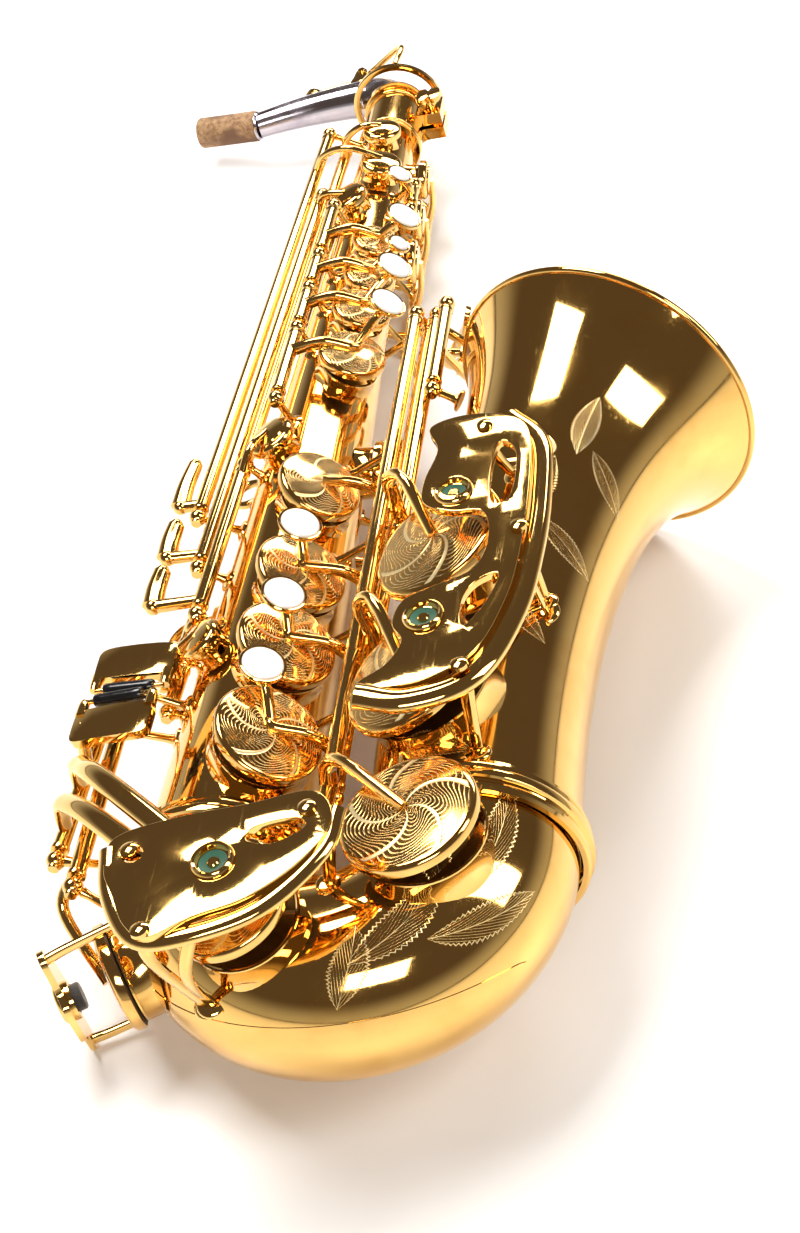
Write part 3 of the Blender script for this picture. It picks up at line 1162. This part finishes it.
def make_palm_keys():
    for name, y0, y1 in (("palm_d", 339.8, 370.2), ("palm_eb", 377.8, 408.2), ("palm_f", 415.8, 446.2)):
        line, hole = ROD["palm"], HOLES[name]
        bm, pad = bmesh.new(), bmesh.new()
        barrel(bm, line, y0, y1)
        cup(bm, pad, hole, False)
        arm(bm, [on_rod(line, hole[0].y), cup_top(hole, 6) * 0.5 + on_rod(line, hole[0].y) * 0.5 + X * 2,
                 cup_top(hole, 6)], 1.9, 1.5)
        arm(bm, [on_rod(line, y0 + 6), off_tube(-76, y0 + 6, 17), off_tube(-86, y0 + 6, 13)], 2.0, 1.8)
        touch_plate(bm, off_tube(-92, y0 + 8, 13), round_dir(-92), 22, 12, 2.4, 90, 2.2)
        finish_key(bm, pad, "key_" + name, line)
    line = ROD["octave"]
    bm, pad = bmesh.new(), bmesh.new()
    barrel(bm, line, 325.8, 400.2)
    m = place(off_tube(180, 396, 5.4), round_dir(180))
    spin(bm, m, [(0.01, 0), (3.4, 0), (4, 0.4), (4, 2.2), (3.2, 3), (0.01, 3.1)], 32)
    arm(bm, [on_rod(line, 396), off_tube(190, 396, 9), off_tube(180, 396, 8)], 1.9, 1.5)
    arm(bm, [on_rod(line, 331), off_tube(210, 331, 9.4), off_tube(218, 331, 10)], 2.0, 1.7)
    touch_plate(bm, off_tube(220, 333, 10.5), round_dir(220), 22, 13, 2.2, 90, 3)
    finish_key(bm, pad, "key_octave_thumb", line)


# ---------- neck ----------

NECK_Y, CORK_START, CORK_END = BODY_LEN + RECEIVER_LEN, Vector((-78, 511.5, 0)), Vector((-111, 514.5, 0))
NECK_BEND, PIP = 20, Vector((-50, 518, 0))
NECK_ROD = (Vector((-22, 535, -9)), Vector((-22, 535, 9)))


def neck_path(u):
    if u < 0.25:
        return Vector((0, BODY_LEN + 2 + (NECK_Y - BODY_LEN - 2) * u / 0.25, 0))
    if u < 0.5:
        a = math.radians(92 * (u - 0.25) / 0.25)
        return Vector((-NECK_BEND + NECK_BEND * math.cos(a), NECK_Y + NECK_BEND * math.sin(a), 0))
    k = (u - 0.5) / 0.5
    start = Vector((-NECK_BEND, NECK_Y + NECK_BEND, 0))
    return start + (CORK_START - start) * k + Y * 2.4 * math.sin(math.pi * k)


def neck_r(u):
    return 11.2 if u < 0.25 else 11.2 - 4.6 * (u - 0.25) / 0.75


def make_neck():
    st = bpy.context.scene.saxophone
    bm = bmesh.new()
    rings = []
    for i in range(st.rings + 1):
        u = 0.2 + 0.8 * i / st.rings
        d = (neck_path(min(u + 0.02, 1)) - neck_path(u - 0.02)).normalized()
        side = d.cross(Z)
        matrix = Matrix((side, Z, d)).transposed().to_4x4()
        matrix.translation = neck_path(u)
        rings.append(circle(bm, matrix, neck_r(u), 64))
    skin(bm, rings)
    run = CORK_END - CORK_START
    spin(bm, place(CORK_START, run), [(5.5, -1), (6.9, -0.9), (7.5, -0.2), (7.5, 0.3), (6.6, 0.5), (6.6, 32.6),
                                      (6.2, 33.1), (5.5, 33.1), (5.4, -1)], 48)
    spin(bm, place((0, NECK_Y, 0), Y), [(11.0, -28), (11.8, -27.6), (11.82, 0.4), (14.9, 0.4), (15.4, 0.8),
                                        (15.4, 1.6), (14.7, 2.0), (14.7, 2.6), (15.2, 3.0), (14.9, 4.0),
                                        (12.2, 4.0), (11.4, 5.6), (11.0, 5.6)], 64)
    finish_piece(bm, "neck_pipe", "neck", mats()["nickel"], ["neck_tube"])
    bm = bmesh.new()
    spin(bm, place(PIP, Y), [(1.4, 11.5), (2.6, 11.5), (3.0, 11.0), (3.0, 7.4), (3.9, 7.0), (3.9, 5.4), (1.4, 5.0),
                             (1.4, 11.5)], 32)
    for z in (-7.6, 7.6):
        outline = rounded([(-26, 523), (-18, 523), (-18.5, 530), (-19.4, 536), (-22, 538), (-24.6, 536),
                           (-25.5, 530)])
        sheet_face(bm, outline, Matrix.Translation((0, 0, z - 1)), 2.0, (), 0.5)
    rod(bm, NECK_ROD[0] - Z * 0.6, NECK_ROD[1] + Z * 0.6, 1.9)
    finish_piece(bm, "neck_saddle", "neck", mats()["keys"])
    bm = bmesh.new()
    spin(bm, place(CORK_START, run), [(6.62, 0.3), (7.3, 0.3), (7.9, 1.2), (7.9, 32.1), (7.4, 33.0), (6.62, 33.1),
                                      (6.62, 0.3)], 64)
    finish_piece(bm, "cork_sleeve", "neck", mats()["cork"], ["neck_cork"])
    bm = bmesh.new()
    rod(bm, NECK_ROD[0] + Z * 3.2, NECK_ROD[1] - Z * 3.2, 2.9)
    top = PIP + Y * 14.9
    arm(bm, [(-22, 535, 0), (-30, 536.8, 0), (-38, 536.4, 0), top], 2.2, 1.6, 1.4, wide=Y)
    spin(bm, place(PIP + Y * 11.9, Y), [(0.01, 0), (4.2, 0), (5.0, 0.6), (5.0, 2.6), (4.2, 3.6), (0.01, 4.0)], 40)
    for side in (-1, 1):
        arm(bm, [(-22, 535, 3 * side), (-14, 537, 8 * side), (4, 526, 22 * side), (3, 508, 22 * side)], 1.8, 1.5)
    spin(bm, place((0, 504, 0), Y), [(20.5, 0.3), (21, 0), (23, 0), (23.5, 0.4), (23.5, 2.6), (23, 3), (21, 3),
                                     (20.5, 2.6), (20.5, 0.3)], 96)
    finish_piece(bm, "neck_octave_work", "neck_octave", mats()["keys"], ["neck_octave_key"])
    bm = bmesh.new()
    spin(bm, place((20.5, 486, 0), Z), [(0.01, -9), (1.7, -9), (2.0, -8.7), (2.0, 8.4), (3.2, 8.4), (3.6, 8.8),
                                        (3.6, 10.8), (3.0, 11.4), (0.01, 11.4)], 32)
    outline = rounded([(14.2, 486), (15.5, 481), (19, 480.6), (20.5, 483), (22, 480.6), (25.5, 481), (26.8, 486),
                       (25.5, 491), (22, 491.4), (20.5, 489), (19, 491.4), (15.5, 491)])
    sheet_face(bm, outline, Matrix.Translation((0, 0, 11.2)), 2.8, (), 0.9)
    finish_piece(bm, "clamp_thumbscrew", "clamp_screw", mats()["keys"], ["neck_clamp_screw"])


def make_fittings():
    """Receiver beads, strap ring, thumb hook and rest."""
    bm = bmesh.new()
    for y in (463.2, 466.0, 493.5):
        torus(bm, place((0, y, 0), Y), 15.1, 0.75, 64)
    finish_piece(bm, "receiver_beads", "body", mats()["gold"])
    bm = bmesh.new()
    d = round_dir(190)
    p = off_tube(190, 205, 9)
    across = place(p, d).to_3x3() @ X
    torus(bm, place(p, across), 6.75, 1.72, 48)
    m = place(off_tube(190, 205, -0.8), d)
    sheet_face(bm, oval(14, 24, 40, 2.6), m, 2.4, (), 0.7)
    finish_piece(bm, "strap_loop", "body", mats()["keys"], ["strap_ring"])
    bm = bmesh.new()
    across = place(p, round_dir(186)).to_3x3() @ X
    sheet_face(bm, oval(16, 22, 40, 4), place(off_tube(186, 118, -0.8), round_dir(186)), 2.6, (), 0.8)
    arm(bm, [off_tube(186, 122, 0.5), off_tube(186, 121.6, 8), off_tube(186, 120, 15), off_tube(186, 114, 18.6),
             off_tube(186, 106, 18.2)], 6.8, 6.0, 0.3, wide=across, sides=20)
    finish_piece(bm, "thumb_hook_smooth", "body", mats()["keys"], ["thumb_hook"])
    bm = bmesh.new()
    spin(bm, place(off_tube(193, 303, -2), round_dir(193)),
         [(0.01, 0), (8, 0), (7.8, 4.6), (7.0, 5.0), (4, 4.6), (0.01, 4.4)], 48)
    finish_piece(bm, "thumb_rest_button", "body", mats()["plastic"], ["thumb_rest"])
    for node, look in (("neck_receiver", "gold"), ("pivot_rods", "steel")):
        slots = frame["nodes"][node].data.materials
        slots.clear()
        slots.append(mats()[look])


# ---------- stage ----------

CAMERA_AT = Vector((227.69, -399.87, 464.75))
CAMERA_RIGHT = Vector((0.96177, 0.11367, -0.24915))
CAMERA_LOOK = Vector((-0.25286, 0.71791, -0.64858))
LENS = 57.03


def soft_light(name, at, size, power, colour, aim=(0, 0, 0.04)):
    light = bpy.data.lights.new(name, "AREA")
    light.shape = "RECTANGLE"
    light.size, light.size_y = size
    light.energy = power
    light.color = colour
    obj = bpy.data.objects.new(name, light)
    obj.location = at
    obj.rotation_euler = (Vector(aim) - Vector(at)).to_track_quat("-Z", "Y").to_euler()
    bpy.context.scene.collection.objects.link(obj)


def make_stage():
    st = bpy.context.scene.saxophone
    bm = bmesh.new()
    bmesh.ops.create_grid(bm, x_segments=2, y_segments=2, size=8)
    mesh = bpy.data.meshes.new("floor")
    bm.to_mesh(mesh)
    bm.free()
    floor = bpy.data.objects.new("floor", mesh)
    bpy.context.scene.collection.objects.link(floor)
    mat, sh, surface = material("pale_floor")
    tone = sh.noise(sh.add("ShaderNodeTexCoord").outputs["Object"], 0.6)
    colour = sh.blend(sh.span(tone, 0.3, 0.7), (0.93, 0.93, 0.935, 1), (0.96, 0.955, 0.95, 1))
    sh.feed(surface.inputs["Base Color"], colour)
    surface.inputs["Roughness"].default_value = 0.32
    surface.inputs["Specular IOR Level"].default_value = 0.4
    mesh.materials.append(mat)
    rot = LAY.to_3x3()
    lamp = st.light
    for name, at, size, power, colour in (
            ("key_light", (-0.9, 0.5, 2.0), (1.2, 0.9), 50, (1.0, 0.985, 0.96)),
            ("fill_light", (1.5, -0.2, 1.5), (0.6, 1.5), 20, (1.0, 0.98, 0.95)),
            ("head_light", (0.1, 1.7, 1.2), (1.6, 0.5), 24, (1.0, 0.98, 0.96)),
            ("foot_light", (0.2, -1.7, 1.3), (0.9, 0.5), 14, (1.0, 0.97, 0.93))):
        soft_light(name, at, size, power * lamp, colour)
    world = bpy.data.worlds.new("room")
    world.use_nodes = True
    world.node_tree.nodes.clear()
    w = Shader(world.node_tree)
    back, out = w.add("ShaderNodeBackground"), w.add("ShaderNodeOutputWorld")
    w.feed(out.inputs[0], back.outputs[0])
    split = w.add("ShaderNodeSeparateXYZ")
    w.feed(split.inputs[0], w.add("ShaderNodeTexCoord").outputs["Generated"])
    low = w.span(split.outputs[2], 0.0, 0.35)
    w.feed(back.inputs[0], w.blend(low, (0.95, 0.93, 0.90, 1), (0.20, 0.155, 0.125, 1)))
    back.inputs[1].default_value = st.room
    bpy.context.scene.world = world
    camera = bpy.data.cameras.new("camera")
    camera.sensor_width = 36
    camera.sensor_fit = "AUTO"
    camera.lens = LENS
    view = bpy.data.objects.new("camera", camera)
    right, look = rot @ CAMERA_RIGHT, rot @ CAMERA_LOOK
    up = right.cross(look)
    view.matrix_world = (Matrix.Translation(TO_WORLD @ CAMERA_AT)
                         @ Matrix((right, up, -look)).transposed().to_4x4())
    bpy.context.scene.collection.objects.link(view)
    bpy.context.scene.camera = view
    bpy.context.scene.view_settings.view_transform = "Standard"


# ---------- add-on ----------

class SaxophoneSettings(bpy.types.PropertyGroup):
    rings: IntProperty(name="Rings", description="Cross-sections along each swept tube", default=96, min=24, max=256)
    sides: IntProperty(name="Sides", description="Facets round each large tube", default=128, min=32, max=256)
    lacquer: FloatVectorProperty(name="Lacquer", description="Colour of the lacquered brass", subtype="COLOR", size=4,
                                 default=(0.93, 0.60, 0.19, 1), min=0, max=1)
    key_lacquer: FloatVectorProperty(name="Key lacquer", description="Colour of the keys and posts", subtype="COLOR",
                                     size=4, default=(0.95, 0.64, 0.22, 1), min=0, max=1)
    light: FloatProperty(name="Light", description="Strength of the soft lights", default=1.0, min=0, max=10,
                         subtype="FACTOR")
    room: FloatProperty(name="Room", description="Strength of the light from the room", default=0.5, min=0, max=5,
                        subtype="FACTOR")


def operator(name, label, doc, build):
    """An operator class that runs one builder."""
    def execute(self, context):
        build()
        return {"FINISHED"}

    return type("SAX_OT_" + name, (bpy.types.Operator,),
                {"bl_idname": "saxophone." + name, "bl_label": label, "__doc__": doc, "execute": execute})


OPERATORS = [
    operator("bell", "Bell", "Build the flared bell with its tone holes and rolled rim", make_bell),
    operator("bow", "Bow", "Build the lower bend with its tone holes", make_bow),
    operator("tube", "Body tube", "Build the conical body tube with its tone holes", make_tube),
    operator("rings", "Joint rings", "Build the two joint rings", make_rings),
    operator("shield", "Bow plate", "Build the pointed plate on the bow", make_shield),
    operator("posts", "Posts", "Build the ball posts", make_posts),
    operator("brace", "Bell brace", "Build the ring between bell and body", make_brace),
    operator("guards", "Key guards", "Build the guards, their felts and screws", make_guards),
    operator("stack", "Main keys", "Build the stack keys and their pearls", make_stack),
    operator("bell_keys", "Bell keys", "Build the low keys and their left-hand plates", make_bell_keys),
    operator("little_finger", "Little-finger keys", "Build the low C and E flat keys with rollers",
             make_little_finger),
    operator("side_keys", "Side keys", "Build the side, high F sharp and trill keys", make_side_keys),
    operator("palm_keys", "Palm keys", "Build the palm and octave keys", make_palm_keys),
    operator("neck", "Neck", "Build the neck, cork, octave key and clamp screw", make_neck),
    operator("fittings", "Fittings", "Build the strap ring, thumb hook and rest", make_fittings),
    operator("stage", "Stage", "Build the floor, lights and camera", make_stage),
]


class SAX_PT_panel(bpy.types.Panel):
    """Saxophone builders"""
    bl_label = "Saxophone"
    bl_space_type = "VIEW_3D"
    bl_region_type = "UI"
    bl_category = "Saxophone"

    def draw(self, context):
        for field in SaxophoneSettings.__annotations__:
            self.layout.prop(context.scene.saxophone, field)
        for item in OPERATORS:
            self.layout.operator(item.bl_idname)


CLASSES = [SaxophoneSettings, *OPERATORS, SAX_PT_panel]


def register():
    for item in CLASSES:
        bpy.utils.register_class(item)
    bpy.types.Scene.saxophone = PointerProperty(type=SaxophoneSettings)


def unregister():
    del bpy.types.Scene.saxophone
    for item in reversed(CLASSES):
        bpy.utils.unregister_class(item)


def main():
    register()
    for item in OPERATORS:
        name = item.bl_idname.split(".")[1]
        if getattr(bpy.ops.saxophone, name)() != {"FINISHED"}:
            raise RuntimeError("could not build " + name)


if __name__ == "__main__":
    main()
